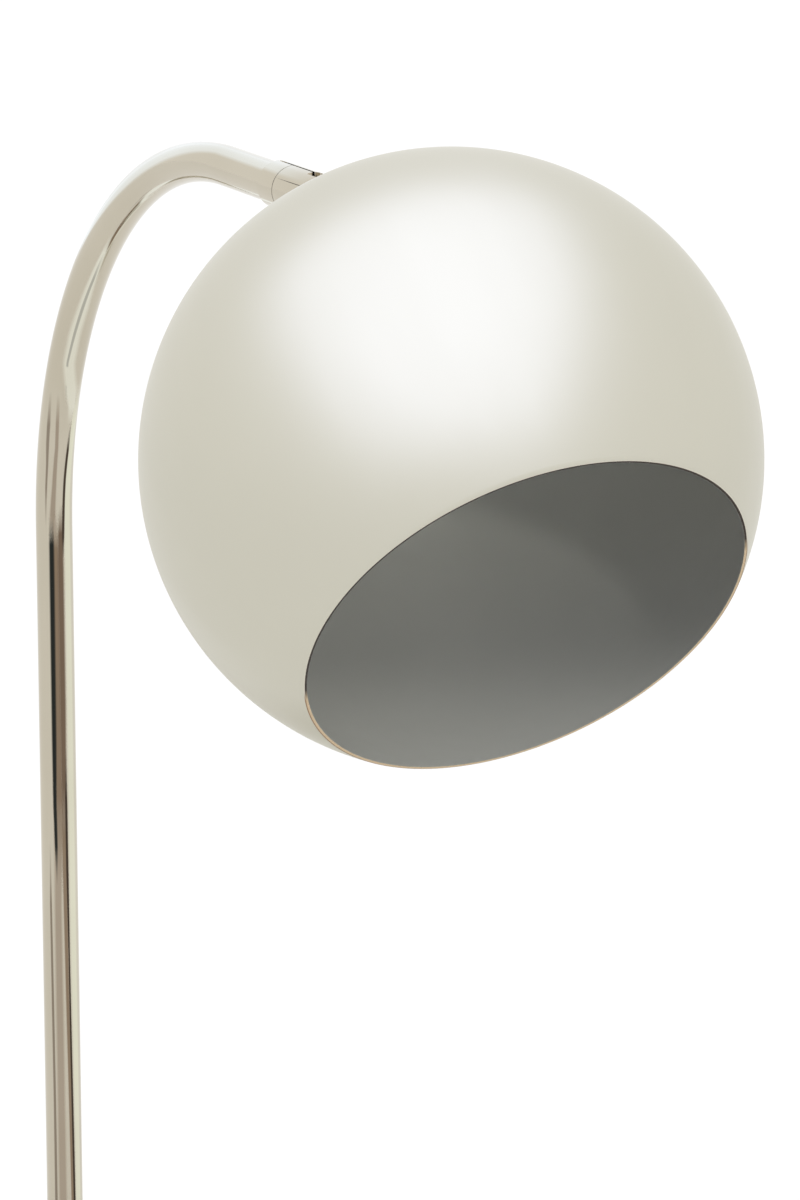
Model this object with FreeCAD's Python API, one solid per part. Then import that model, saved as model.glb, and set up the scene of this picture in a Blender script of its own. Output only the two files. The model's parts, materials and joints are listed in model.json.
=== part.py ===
"""Arched desk lamp: a weighted round base, one bent tube, a two-axis knuckle and a globe shade.

Millimetres, +Z up. The origin is the centre of the base's underside, on the pole's axis,
and +X points from the pole towards the shade.
"""
import FreeCAD, Part
import math
import os

from FreeCAD import Placement, Rotation, Vector

# Base
BASE_RADIUS = 100.0
BASE_HEIGHT = 20.0
COVER_WALL = 1.2
COVER_EDGE_RADIUS = 5.0
COVER_FLOOR_GAP = 1.0
PAD_THICKNESS = 2.0

# Hollow threaded rods, with their nuts and washers
ROD_RADIUS = 4.9
ROD_WALL = 1.5
ROD_IN_TUBE = 16.0
ROD_BELOW_NUT = 1.0
NUT_WALL = 2.05
NUT_THICKNESS = 4.0
BASE_WASHER_OVERHANG = 6.0
BASE_WASHER_THICKNESS = 1.5
NUT_WELL_MARGIN = 2.0
NUT_WELL_DEPTH = 10.0

# Bent tube, which fits round a threaded insert
INSERT_WALL = 0.95
INSERT_LENGTH = 18.0
TUBE_WALL = 1.2
POLE_LENGTH = 370.0
BEND_RADIUS = 156.0
BEND_ANGLE = 93.0
NECK_TO_HINGE = 77.0
FOOT_RING_WALL = 3.8
FOOT_RING_HEIGHT = 12.0
FOOT_RING_CHAMFER = 1.5

# Cord outlet in the base
OUTLET_BORE_RADIUS = 3.1
OUTLET_ABOVE_DESK = 3.0
GROMMET_WALL = 1.1
GROMMET_FLANGE_WIDTH = 1.3
GROMMET_FLANGE_THICKNESS = 1.5

# Knuckle: a collar on the tube, a fork that swivels in it and a tongue that tilts in the fork
KNUCKLE_WALL = 1.05
COLLAR_LENGTH = 12.0
COLLAR_CHAMFER = 0.5
COLLAR_SHOULDER = 5.0
COLLAR_SEAM = 0.2
SLIT_WIDTH = 0.8
FORK_BODY_LENGTH = 15.3
FORK_BORE_RADIUS = 3.0
FORK_FLOOR_CLEARANCE = 1.5
EAR_WALL = 2.95
SPIGOT_LENGTH = 8.5
RETAINER_CLEARANCE = 0.35
RETAINER_HOLD = 0.55
RETAINER_THICKNESS = 0.9
RETAINER_GAP = 2.4
WAVE_WASHER_THICKNESS = 0.5
STOP_PIN_RADIUS = 0.6
STOP_PIN_DEPTH = 3.0
STOP_PIN_REACH = 1.4
STOP_GROOVE_DEPTH = 1.6
SWIVEL_LIMIT = 80.0
TONGUE_INSET = 0.2
TONGUE_THICKNESS = 4.6
TILT_WASHER_THICKNESS = 0.3
TILT_WASHER_INSET = 0.6
TILT_SCREW_RADIUS = 2.0
SCREW_HEAD_RADIUS = 3.8
SCREW_HEAD_HEIGHT = 2.2
SCREW_SOCKET_RADIUS = 1.5
SCREW_SOCKET_DEPTH = 1.3
TILT_NUT_ACROSS_FLATS = 7.0
SCREW_SEAT_MARGIN = 0.7
WIRE_BORE_RADIUS = 1.2
WIRE_BORE_INSET = 0.4

# Shade and what clamps it, measured along its own axis
SHADE_RADIUS = 100.0
SHADE_WALL = 0.8
SHADE_AXIS_FROM_DOWN = 50.7
SHADE_OPENING_FROM_CENTRE = 67.0
SHOULDER_CLEARANCE = 0.8
SHOULDER_LENGTH = 8.0
SHADE_ROD_ENGAGEMENT = 6.0
SHADE_WASHER_OVERHANG = 5.0
SHADE_WASHER_THICKNESS = 1.6

# Lamp holder and bulb
HOLDER_WALL = 6.05
HOLDER_CAP_LENGTH = 14.0
HOLDER_CAP_WALL = 1.8
HOLDER_CAP_FLOOR = 5.0
HOLDER_BODY_LENGTH = 29.0
HOLDER_NOSE_LENGTH = 4.0
HOLDER_CHAMFER = 1.0
SLEEVE_WALL = 0.5
SLEEVE_LENGTH = 20.0
CONTACT_RADIUS = 4.0
CONTACT_THICKNESS = 1.0
BULB_CAP_RADIUS = 6.85
BULB_CAP_LENGTH = 21.0
BULB_CAP_WALL = 0.4
BULB_TIP_RADIUS = 3.0
BULB_TIP_LENGTH = 1.6
BULB_GLOBE_RADIUS = 22.5
BULB_GLOBE_WALL = 1.2
BULB_LENGTH = 78.0
BULB_HOUSING_INSET = 6.5

# Clearances, each on the radius or on one side
FIXED_GAP = 0.05
RUNNING_GAP = 0.05
MOVING_GAP = 0.3

# Worked-out sizes
NUT_ACROSS_FLATS = 2 * (ROD_RADIUS + FIXED_GAP + NUT_WALL)
BASE_WASHER_RADIUS = NUT_ACROSS_FLATS / 2 + BASE_WASHER_OVERHANG
NUT_WELL_RADIUS = BASE_WASHER_RADIUS + NUT_WELL_MARGIN
SHADE_WASHER_RADIUS = NUT_ACROSS_FLATS / 2 + SHADE_WASHER_OVERHANG
TUBE_BORE_RADIUS = ROD_RADIUS + INSERT_WALL + 2 * FIXED_GAP
TUBE_RADIUS = TUBE_BORE_RADIUS + TUBE_WALL
FOOT_RING_RADIUS = TUBE_RADIUS + FIXED_GAP + FOOT_RING_WALL
GROMMET_NECK_RADIUS = OUTLET_BORE_RADIUS + GROMMET_WALL
GROMMET_FLANGE_RADIUS = GROMMET_NECK_RADIUS + GROMMET_FLANGE_WIDTH
OUTLET_HEIGHT = GROMMET_FLANGE_RADIUS + OUTLET_ABOVE_DESK
KNUCKLE_RADIUS = TUBE_RADIUS + KNUCKLE_WALL
RETAINER_RADIUS = TUBE_BORE_RADIUS - RETAINER_CLEARANCE
SPIGOT_RADIUS = RETAINER_RADIUS - RETAINER_HOLD
RETAINER_BORE_RADIUS = SPIGOT_RADIUS - RETAINER_HOLD
STOP_PIN_ORBIT = (SPIGOT_RADIUS + KNUCKLE_RADIUS) / 2
TONGUE_RADIUS = KNUCKLE_RADIUS - TONGUE_INSET
TILT_WASHER_RADIUS = TONGUE_RADIUS - TILT_WASHER_INSET
FORK_SLOT_FLOOR = TONGUE_RADIUS + FORK_FLOOR_CLEARANCE
FORK_SLOT_WIDTH = TONGUE_THICKNESS + 2 * (TILT_WASHER_THICKNESS + RUNNING_GAP)
SCREW_SEAT_FROM_AXIS = FORK_SLOT_WIDTH / 2 + EAR_WALL
SCREW_SEAT_RADIUS = SCREW_HEAD_RADIUS + SCREW_SEAT_MARGIN
WIRE_BORE_OFFSET = ROD_RADIUS - WIRE_BORE_INSET
SLEEVE_RADIUS = BULB_CAP_RADIUS + FIXED_GAP + SLEEVE_WALL
HOLDER_RADIUS = SLEEVE_RADIUS + FIXED_GAP + HOLDER_WALL
BULB_HOUSING_TOP_RADIUS = BULB_GLOBE_RADIUS - BULB_HOUSING_INSET

# Worked-out places
ORIGIN = Vector(0, 0, 0)
AXIS_X = Vector(1, 0, 0)
AXIS_Y = Vector(0, 1, 0)
AXIS_Z = Vector(0, 0, 1)
ARC_START = BASE_HEIGHT + POLE_LENGTH
HINGE_TO_FORK_BACK = FORK_SLOT_FLOOR + FORK_BODY_LENGTH
HINGE_TO_COLLAR_FRONT = HINGE_TO_FORK_BACK + COLLAR_SEAM
HINGE_TO_COLLAR_BACK = HINGE_TO_COLLAR_FRONT + COLLAR_LENGTH
HINGE_TO_TUBE_END = HINGE_TO_COLLAR_FRONT + COLLAR_SHOULDER
HINGE_TO_SHOULDER = KNUCKLE_RADIUS + SHOULDER_CLEARANCE
HINGE_TO_SHADE = HINGE_TO_SHOULDER + SHOULDER_LENGTH
HINGE_TO_CENTRE = HINGE_TO_SHADE + SHADE_RADIUS
SHADE_INSIDE = HINGE_TO_SHADE + SHADE_WALL
SHADE_NUT_START = SHADE_INSIDE + SHADE_WASHER_THICKNESS
HOLDER_START = SHADE_NUT_START + NUT_THICKNESS
HOLDER_JOIN = HOLDER_START + HOLDER_CAP_LENGTH
HOLDER_MOUTH = HOLDER_JOIN + HOLDER_BODY_LENGTH
BULB_START = HOLDER_MOUTH - BULB_CAP_LENGTH - BULB_TIP_LENGTH
HOLDER_FLOOR = BULB_START - CONTACT_THICKNESS
BULB_GLOBE_CENTRE = BULB_START + BULB_LENGTH - BULB_GLOBE_RADIUS


def cylinder(radius, start, length):
    """A cylinder on Z from start, upwards by length."""
    return Part.makeCylinder(radius, length, Vector(0, 0, start))


def ring(outer_radius, inner_radius, start, length):
    """A hollow cylinder on Z."""
    return cylinder(outer_radius, start, length).cut(cylinder(inner_radius, start, length))


def cross_cylinder(radius, start, length):
    """A cylinder along Y through the Z axis, from y = start."""
    return Part.makeCylinder(radius, length, Vector(0, start, 0), AXIS_Y)


def block(x_low, x_high, y_low, y_high, z_low, z_high):
    """A box between the given planes."""
    corner = Vector(x_low, y_low, z_low)
    return Part.makeBox(x_high - x_low, y_high - y_low, z_high - z_low, corner)


def hexagon(across_flats, start, length, axis=AXIS_Z):
    """A hexagonal prism on the given axis, centred on the axis."""
    corner_radius = across_flats / math.sqrt(3)
    corners = []
    for index in range(7):
        angle = math.radians(60 * index)
        corners.append(Vector(corner_radius * math.cos(angle), corner_radius * math.sin(angle), 0))
    prism = Part.Face(Part.makePolygon(corners)).extrude(Vector(0, 0, length))
    prism.Placement = Placement(axis * start, Rotation(AXIS_Z, axis))
    return prism


def revolved(points):
    """A solid of revolution about Z from (radius, height) points."""
    outline = [Vector(radius, 0, height) for radius, height in points]
    outline.append(outline[0])
    return Part.Face(Part.makePolygon(outline)).revolve(ORIGIN, AXIS_Z, 360)


def neck_end():
    """The hinge's centre: past the bend, along the neck."""
    angle = math.radians(BEND_ANGLE)
    reach = BEND_RADIUS * (1 - math.cos(angle)) + NECK_TO_HINGE * math.sin(angle)
    height = ARC_START + BEND_RADIUS * math.sin(angle) + NECK_TO_HINGE * math.cos(angle)
    return Vector(reach, 0, height)


def on_neck(shape):
    """Moves a shape built on Z, hinge at zero, onto the neck; its -X side becomes the top."""
    return shape.transformed(Placement(neck_end(), Rotation(AXIS_Y, BEND_ANGLE)).toMatrix())


def on_head(shape):
    """Moves a shape built on Z, hinge at zero, onto the shade's axis."""
    turn = Rotation(AXIS_Y, 180 - SHADE_AXIS_FROM_DOWN)
    return shape.transformed(Placement(neck_end(), turn).toMatrix())


# ---------------------------------------------------------------- base


def base_pad():
    """The soft disc that the lamp stands on, inside the cover's skirt."""
    return cylinder(BASE_RADIUS - COVER_WALL - FIXED_GAP, 0, PAD_THICKNESS)


def base_cover():
    """The spun cover: a shallow cup upside down, with holes for the rod and the cord."""
    height = BASE_HEIGHT - COVER_FLOOR_GAP
    outside = cylinder(BASE_RADIUS, COVER_FLOOR_GAP, height)
    top_edge = [edge for edge in outside.Edges if edge.BoundBox.ZMin > BASE_HEIGHT - COVER_WALL]
    outside = outside.makeFillet(COVER_EDGE_RADIUS, top_edge)
    inside = cylinder(BASE_RADIUS - COVER_WALL, COVER_FLOOR_GAP, height - COVER_WALL)
    inner_top = BASE_HEIGHT - 2 * COVER_WALL
    inner_edge = [edge for edge in inside.Edges if edge.BoundBox.ZMin > inner_top]
    inside = inside.makeFillet(COVER_EDGE_RADIUS - COVER_WALL, inner_edge)
    rod_hole = cylinder(ROD_RADIUS + MOVING_GAP, 0, BASE_HEIGHT)
    return outside.cut(inside).cut(rod_hole).cut(outlet_bar(GROMMET_NECK_RADIUS, 0, BASE_RADIUS))


def outlet_bar(radius, inner_reach, outer_reach):
    """A bar along the cord outlet, between two distances behind the pole."""
    start = Vector(-outer_reach, 0, OUTLET_HEIGHT)
    return Part.makeCylinder(radius, outer_reach - inner_reach, start, AXIS_X)


def base_weight():
    """The cast disc: a well for the nut and a channel for the cord on its underside."""
    radius = BASE_RADIUS - COVER_WALL - FIXED_GAP
    top = BASE_HEIGHT - COVER_WALL
    edge_chamfer = COVER_EDGE_RADIUS - COVER_WALL
    disc = revolved([
        (0, PAD_THICKNESS),
        (radius, PAD_THICKNESS),
        (radius, top - edge_chamfer),
        (radius - edge_chamfer, top),
        (0, top),
    ])
    well = cylinder(NUT_WELL_RADIUS, PAD_THICKNESS, NUT_WELL_DEPTH)
    rod_hole = cylinder(ROD_RADIUS + MOVING_GAP, 0, BASE_HEIGHT)
    half_width = GROMMET_FLANGE_RADIUS + MOVING_GAP
    channel_top = OUTLET_HEIGHT + half_width
    channel = block(-BASE_RADIUS, 0, -half_width, half_width, PAD_THICKNESS, channel_top)
    return disc.cut(well).cut(channel).cut(rod_hole)


def cord_grommet():
    """The bush in the cover's back wall, with a flange on each side of the wall."""
    outer_reach = BASE_RADIUS + GROMMET_FLANGE_THICKNESS
    inner_reach = BASE_RADIUS - COVER_WALL - GROMMET_FLANGE_THICKNESS
    bobbin = outlet_bar(GROMMET_FLANGE_RADIUS, inner_reach, outer_reach)
    bore = outlet_bar(OUTLET_BORE_RADIUS, inner_reach, outer_reach)
    return bobbin.cut(bore).cut(base_cover())


def well_ceiling():
    """The height of the nut well's flat top, which the washer presses on."""
    return PAD_THICKNESS + NUT_WELL_DEPTH


def base_washer():
    """The washer between the nut and the weight."""
    start = well_ceiling() - BASE_WASHER_THICKNESS
    return ring(BASE_WASHER_RADIUS, ROD_RADIUS + FIXED_GAP, start, BASE_WASHER_THICKNESS)


def base_nut():
    """The nut that pulls the pole down onto the base."""
    start = well_ceiling() - BASE_WASHER_THICKNESS - NUT_THICKNESS
    nut = hexagon(NUT_ACROSS_FLATS, start, NUT_THICKNESS)
    return nut.cut(cylinder(ROD_RADIUS + FIXED_GAP, start, NUT_THICKNESS))


def base_rod():
    """The hollow threaded rod from the nut up into the pole."""
    start = well_ceiling() - BASE_WASHER_THICKNESS - NUT_THICKNESS - ROD_BELOW_NUT
    return ring(ROD_RADIUS, ROD_RADIUS - ROD_WALL, start, BASE_HEIGHT + ROD_IN_TUBE - start)


# ---------------------------------------------------------------- arm


def pole_insert():
    """The threaded plug brazed into the pole's lower end."""
    outer_radius = TUBE_BORE_RADIUS - FIXED_GAP
    return ring(outer_radius, ROD_RADIUS + FIXED_GAP, BASE_HEIGHT, INSERT_LENGTH)


def foot_ring():
    """The trim ring around the pole's foot."""
    outer = FOOT_RING_RADIUS
    top = BASE_HEIGHT + FOOT_RING_HEIGHT
    return revolved([
        (TUBE_RADIUS + FIXED_GAP, BASE_HEIGHT),
        (outer, BASE_HEIGHT),
        (outer, top - FOOT_RING_CHAMFER),
        (outer - FOOT_RING_CHAMFER, top),
        (TUBE_RADIUS + FIXED_GAP, top),
    ])


def arm_tube():
    """One tube: the straight pole, the bend and the straight neck."""
    outer = Part.Face(Part.Wire(Part.makeCircle(TUBE_RADIUS, Vector(0, 0, BASE_HEIGHT))))
    inner = Part.Face(Part.Wire(Part.makeCircle(TUBE_BORE_RADIUS, Vector(0, 0, BASE_HEIGHT))))
    section = outer.cut(inner).Faces[0]
    pole = section.extrude(Vector(0, 0, POLE_LENGTH))
    bend_section = section.translated(Vector(0, 0, POLE_LENGTH))
    bend = bend_section.revolve(Vector(BEND_RADIUS, 0, ARC_START), AXIS_Y, BEND_ANGLE)
    neck_length = NECK_TO_HINGE - HINGE_TO_TUBE_END
    neck = on_neck(ring(TUBE_RADIUS, TUBE_BORE_RADIUS, -NECK_TO_HINGE, neck_length))
    return pole.fuse(bend).fuse(neck).removeSplitter()


def neck_collar():
    """The split collar pressed on the tube's end; its smaller bore is the swivel's bearing."""
    back = -HINGE_TO_COLLAR_BACK
    front = -HINGE_TO_COLLAR_FRONT
    seat = -HINGE_TO_TUBE_END
    bearing_radius = SPIGOT_RADIUS + RUNNING_GAP
    sleeve = revolved([
        (TUBE_RADIUS + FIXED_GAP, back),
        (KNUCKLE_RADIUS - COLLAR_CHAMFER, back),
        (KNUCKLE_RADIUS, back + COLLAR_CHAMFER),
        (KNUCKLE_RADIUS, front),
        (bearing_radius, front),
        (bearing_radius, seat),
        (TUBE_RADIUS + FIXED_GAP, seat),
    ])
    slit = block(-2 * KNUCKLE_RADIUS, 0, -SLIT_WIDTH / 2, SLIT_WIDTH / 2, back, front)
    pin_hole = stop_pin_on_z()
    return on_neck(sleeve.cut(slit).cut(pin_hole))


def stop_pin_on_z():
    """The stop pin's solid, before it is moved onto the neck."""
    start = Vector(STOP_PIN_ORBIT, 0, -HINGE_TO_COLLAR_FRONT - STOP_PIN_DEPTH)
    return Part.makeCylinder(STOP_PIN_RADIUS, STOP_PIN_DEPTH + STOP_PIN_REACH, start)


def swivel_stop_pin():
    """The pin in the collar's front face that ends the swivel."""
    return on_neck(stop_pin_on_z())


# ---------------------------------------------------------------- swivelling fork


def stop_groove():
    """The curved groove in the fork's back face that the stop pin runs in."""
    half_width = STOP_PIN_RADIUS + MOVING_GAP
    start = -HINGE_TO_FORK_BACK
    pin_half_angle = math.degrees(half_width / STOP_PIN_ORBIT)
    half_angle = SWIVEL_LIMIT + pin_half_angle
    low = Vector(STOP_PIN_ORBIT - half_width, 0, start)
    high = Vector(STOP_PIN_ORBIT + half_width, 0, start)
    depth = Vector(0, 0, STOP_GROOVE_DEPTH)
    corners = [low, high, high + depth, low + depth, low]
    section = Part.Face(Part.makePolygon(corners))
    section.rotate(ORIGIN, AXIS_Z, -half_angle)
    return section.revolve(ORIGIN, AXIS_Z, 2 * half_angle)


def swivel_fork():
    """The fork: a spigot in the collar, a slit body and two ears round the tongue."""
    back = -HINGE_TO_FORK_BACK
    body = cylinder(KNUCKLE_RADIUS, back, HINGE_TO_FORK_BACK)
    ear_reach = cylinder(KNUCKLE_RADIUS, 0, KNUCKLE_RADIUS)
    ears = ear_reach.common(cross_cylinder(KNUCKLE_RADIUS, -KNUCKLE_RADIUS, 2 * KNUCKLE_RADIUS))
    spigot = cylinder(SPIGOT_RADIUS, back - SPIGOT_LENGTH, SPIGOT_LENGTH)
    fork = body.fuse(ears).fuse(spigot)

    far = 2 * KNUCKLE_RADIUS
    half_slot = FORK_SLOT_WIDTH / 2
    slot = block(-far, far, -half_slot, half_slot, -FORK_SLOT_FLOOR, far)
    bore = cylinder(FORK_BORE_RADIUS, back - SPIGOT_LENGTH, HINGE_TO_FORK_BACK + SPIGOT_LENGTH)
    clamp_slit = block(-far, 0, -SLIT_WIDTH / 2, SLIT_WIDTH / 2, back, 0)
    groove_start = -HINGE_TO_TUBE_END - WAVE_WASHER_THICKNESS - RETAINER_THICKNESS - FIXED_GAP
    groove = ring(KNUCKLE_RADIUS, RETAINER_BORE_RADIUS, groove_start, RETAINER_THICKNESS)
    fork = fork.cut(slot).cut(bore).cut(clamp_slit).cut(groove).cut(stop_groove())

    screw_hole = cross_cylinder(TILT_SCREW_RADIUS + FIXED_GAP, -far, 2 * far)
    head_seat = cross_cylinder(SCREW_SEAT_RADIUS, -far, far - SCREW_SEAT_FROM_AXIS)
    nut_seat = cross_cylinder(SCREW_SEAT_RADIUS, SCREW_SEAT_FROM_AXIS, far)
    return on_neck(fork.cut(screw_hole).cut(head_seat).cut(nut_seat).removeSplitter())


def swivel_wave_washer():
    """The springy washer that gives the swivel its drag."""
    start = -HINGE_TO_TUBE_END - WAVE_WASHER_THICKNESS
    inner_radius = SPIGOT_RADIUS + FIXED_GAP
    return on_neck(ring(RETAINER_RADIUS, inner_radius, start, WAVE_WASHER_THICKNESS))


def swivel_retainer():
    """The ring in the spigot's groove that holds the fork in the collar."""
    start = -HINGE_TO_TUBE_END - WAVE_WASHER_THICKNESS - RETAINER_THICKNESS - FIXED_GAP
    retainer = ring(RETAINER_RADIUS, RETAINER_BORE_RADIUS, start, RETAINER_THICKNESS)
    gap = block(-2 * KNUCKLE_RADIUS, 0, -RETAINER_GAP / 2, RETAINER_GAP / 2, start, 0)
    return on_neck(retainer.cut(gap))


def tilt_screw():
    """The socket-head screw through both ears and the tongue."""
    head_start = -SCREW_SEAT_FROM_AXIS - SCREW_HEAD_HEIGHT
    head = cross_cylinder(SCREW_HEAD_RADIUS, head_start, SCREW_HEAD_HEIGHT)
    shank_length = 2 * SCREW_SEAT_FROM_AXIS + SCREW_HEAD_HEIGHT
    shank = cross_cylinder(TILT_SCREW_RADIUS, -SCREW_SEAT_FROM_AXIS, shank_length)
    socket_flats = SCREW_SOCKET_RADIUS * math.sqrt(3)
    socket = hexagon(socket_flats, head_start, SCREW_SOCKET_DEPTH, AXIS_Y)
    return on_neck(head.fuse(shank).cut(socket).removeSplitter())


def tilt_nut():
    """The nut in the far ear."""
    nut = hexagon(TILT_NUT_ACROSS_FLATS, SCREW_SEAT_FROM_AXIS, SCREW_HEAD_HEIGHT, AXIS_Y)
    hole_length = 2 * SCREW_SEAT_FROM_AXIS
    hole = cross_cylinder(TILT_SCREW_RADIUS + FIXED_GAP, 0, hole_length)
    return on_neck(nut.cut(hole))


def tilt_washers():
    """Two thin friction washers, one on the inside of each ear."""
    washers = []
    for side in (-1, 1):
        start = side * FORK_SLOT_WIDTH / 2
        if side > 0:
            start -= TILT_WASHER_THICKNESS
        disc = cross_cylinder(TILT_WASHER_RADIUS, start, TILT_WASHER_THICKNESS)
        hole = cross_cylinder(TILT_SCREW_RADIUS + FIXED_GAP, start, TILT_WASHER_THICKNESS)
        washers.append(on_neck(disc.cut(hole)))
    return Part.makeCompound(washers)


# ---------------------------------------------------------------- head


def tilt_tongue():
    """The tongue between the ears, with a round shoulder that seats on the shade."""
    half_thickness = TONGUE_THICKNESS / 2
    disc = cross_cylinder(TONGUE_RADIUS, -half_thickness, TONGUE_THICKNESS)
    reach = TONGUE_RADIUS
    web = block(-reach, reach, -half_thickness, half_thickness, 0, HINGE_TO_SHOULDER)
    shoulder_length = SHADE_INSIDE - HINGE_TO_SHOULDER
    shoulder = cylinder(KNUCKLE_RADIUS, HINGE_TO_SHOULDER, shoulder_length)
    tongue = disc.fuse(web).fuse(shoulder)
    tongue = tongue.cut(Part.makeSphere(SHADE_RADIUS, Vector(0, 0, HINGE_TO_CENTRE)))
    socket_start = HINGE_TO_SHADE - SHADE_ROD_ENGAGEMENT
    socket = cylinder(ROD_RADIUS + FIXED_GAP, socket_start, HINGE_TO_SHADE)
    pivot = cross_cylinder(TILT_SCREW_RADIUS + RUNNING_GAP, -TONGUE_RADIUS, 2 * TONGUE_RADIUS)
    tongue = tongue.cut(socket).cut(pivot)
    for side in (-1, 1):
        start = Vector(side * WIRE_BORE_OFFSET, 0, -TONGUE_RADIUS)
        wire_bore = Part.makeCylinder(WIRE_BORE_RADIUS, TONGUE_RADIUS + HINGE_TO_SHADE, start)
        tongue = tongue.cut(wire_bore)
    return on_head(tongue.removeSplitter())


def shade_rod():
    """The hollow threaded rod from the tongue, through the shade, into the lamp holder."""
    start = HINGE_TO_SHADE - SHADE_ROD_ENGAGEMENT
    length = HOLDER_START + HOLDER_CAP_FLOOR - start
    return on_head(ring(ROD_RADIUS, ROD_RADIUS - ROD_WALL, start, length))


def shade_shell():
    """The spun globe: a thin sphere with a flat mouth and a hole at its pole."""
    centre = Vector(0, 0, HINGE_TO_CENTRE)
    outside = Part.makeSphere(SHADE_RADIUS, centre)
    inside = Part.makeSphere(SHADE_RADIUS - SHADE_WALL, centre)
    mouth_start = HINGE_TO_CENTRE + SHADE_OPENING_FROM_CENTRE
    mouth = cylinder(2 * SHADE_RADIUS, mouth_start, SHADE_RADIUS)
    rod_hole = cylinder(ROD_RADIUS + FIXED_GAP, 0, HINGE_TO_CENTRE)
    return on_head(outside.cut(inside).cut(mouth).cut(rod_hole))


def shade_washer():
    """The domed washer inside the shade, shaped to its inner face."""
    blank = ring(SHADE_WASHER_RADIUS, ROD_RADIUS + FIXED_GAP, SHADE_INSIDE, SHADE_WASHER_THICKNESS)
    centre = Vector(0, 0, HINGE_TO_CENTRE)
    return on_head(blank.common(Part.makeSphere(SHADE_RADIUS - SHADE_WALL, centre)))


def shade_nut():
    """The nut that clamps the shade against the tongue's shoulder."""
    nut = hexagon(NUT_ACROSS_FLATS, SHADE_NUT_START, NUT_THICKNESS)
    return on_head(nut.cut(cylinder(ROD_RADIUS + FIXED_GAP, SHADE_NUT_START, NUT_THICKNESS)))


def holder_cap():
    """The lamp holder's back cap, screwed onto the rod."""
    inner_radius = HOLDER_RADIUS - HOLDER_CAP_WALL
    floor = HOLDER_START + HOLDER_CAP_FLOOR
    return on_head(revolved([
        (ROD_RADIUS + FIXED_GAP, HOLDER_START),
        (HOLDER_RADIUS - HOLDER_CHAMFER, HOLDER_START),
        (HOLDER_RADIUS, HOLDER_START + HOLDER_CHAMFER),
        (HOLDER_RADIUS, HOLDER_JOIN),
        (inner_radius, HOLDER_JOIN),
        (inner_radius, floor),
        (ROD_RADIUS + FIXED_GAP, floor),
    ]))


def holder_body():
    """The lamp holder's front tube, with a floor that carries the contact."""
    bore_radius = SLEEVE_RADIUS + FIXED_GAP
    return on_head(revolved([
        (0, HOLDER_JOIN),
        (HOLDER_RADIUS, HOLDER_JOIN),
        (HOLDER_RADIUS, HOLDER_MOUTH - HOLDER_NOSE_LENGTH),
        (HOLDER_RADIUS - HOLDER_CHAMFER, HOLDER_MOUTH),
        (bore_radius, HOLDER_MOUTH),
        (bore_radius, HOLDER_FLOOR),
        (0, HOLDER_FLOOR),
    ]))


def holder_sleeve():
    """The brass threaded sleeve inside the lamp holder."""
    start = HOLDER_MOUTH - SLEEVE_LENGTH
    return on_head(ring(SLEEVE_RADIUS, BULB_CAP_RADIUS + FIXED_GAP, start, SLEEVE_LENGTH))


def holder_contact():
    """The centre contact on the holder's floor, touching the bulb's tip."""
    return on_head(cylinder(CONTACT_RADIUS, HOLDER_FLOOR, CONTACT_THICKNESS))


def bulb_cap():
    """The bulb's screw cap and its contact tip."""
    cap_start = BULB_START + BULB_TIP_LENGTH
    cap = cylinder(BULB_CAP_RADIUS, cap_start, BULB_CAP_LENGTH)
    tip = cylinder(BULB_TIP_RADIUS, BULB_START, BULB_TIP_LENGTH)
    inner_radius = BULB_CAP_RADIUS - BULB_CAP_WALL
    hollow = cylinder(inner_radius, cap_start + BULB_CAP_WALL, BULB_CAP_LENGTH)
    return on_head(cap.fuse(tip).cut(hollow).removeSplitter())


def housing_top():
    """Where the bulb's housing meets its globe."""
    drop = math.sqrt(BULB_GLOBE_RADIUS ** 2 - BULB_HOUSING_TOP_RADIUS ** 2)
    return BULB_GLOBE_CENTRE - drop


def bulb_housing():
    """The bulb's plastic housing, widening from the cap to the globe."""
    cap_end = BULB_START + BULB_TIP_LENGTH + BULB_CAP_LENGTH
    return on_head(revolved([
        (0, cap_end),
        (BULB_CAP_RADIUS, cap_end),
        (BULB_HOUSING_TOP_RADIUS, housing_top()),
        (0, housing_top()),
    ]))


def bulb_globe():
    """The bulb's opal globe, closed by the housing."""
    centre = Vector(0, 0, BULB_GLOBE_CENTRE)
    outside = Part.makeSphere(BULB_GLOBE_RADIUS, centre)
    inside = Part.makeSphere(BULB_GLOBE_RADIUS - BULB_GLOBE_WALL, centre)
    below = cylinder(2 * BULB_GLOBE_RADIUS, housing_top() - BULB_LENGTH, BULB_LENGTH)
    return on_head(outside.cut(inside).cut(below))


PARTS = [
    base_pad,
    base_cover,
    base_weight,
    cord_grommet,
    base_washer,
    base_nut,
    base_rod,
    pole_insert,
    foot_ring,
    arm_tube,
    neck_collar,
    swivel_stop_pin,
    swivel_fork,
    swivel_wave_washer,
    swivel_retainer,
    tilt_screw,
    tilt_nut,
    tilt_washers,
    tilt_tongue,
    shade_rod,
    shade_shell,
    shade_washer,
    shade_nut,
    holder_cap,
    holder_body,
    holder_sleeve,
    holder_contact,
    bulb_cap,
    bulb_housing,
    bulb_globe,
]


def main():
    """Writes one STEP file for each sub-part."""
    os.makedirs("parts", exist_ok=True)
    for build in PARTS:
        shape = build()
        shape.exportStep("parts/" + build.__name__ + ".step")
        print(build.__name__, "solids", len(shape.Solids), "volume", round(shape.Volume, 1))


main()
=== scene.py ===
"""Looks of the arched desk lamp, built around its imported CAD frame. Metres, +Z up."""

import json
import math

import bmesh
import bpy
from mathutils import Matrix, Vector


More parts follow.
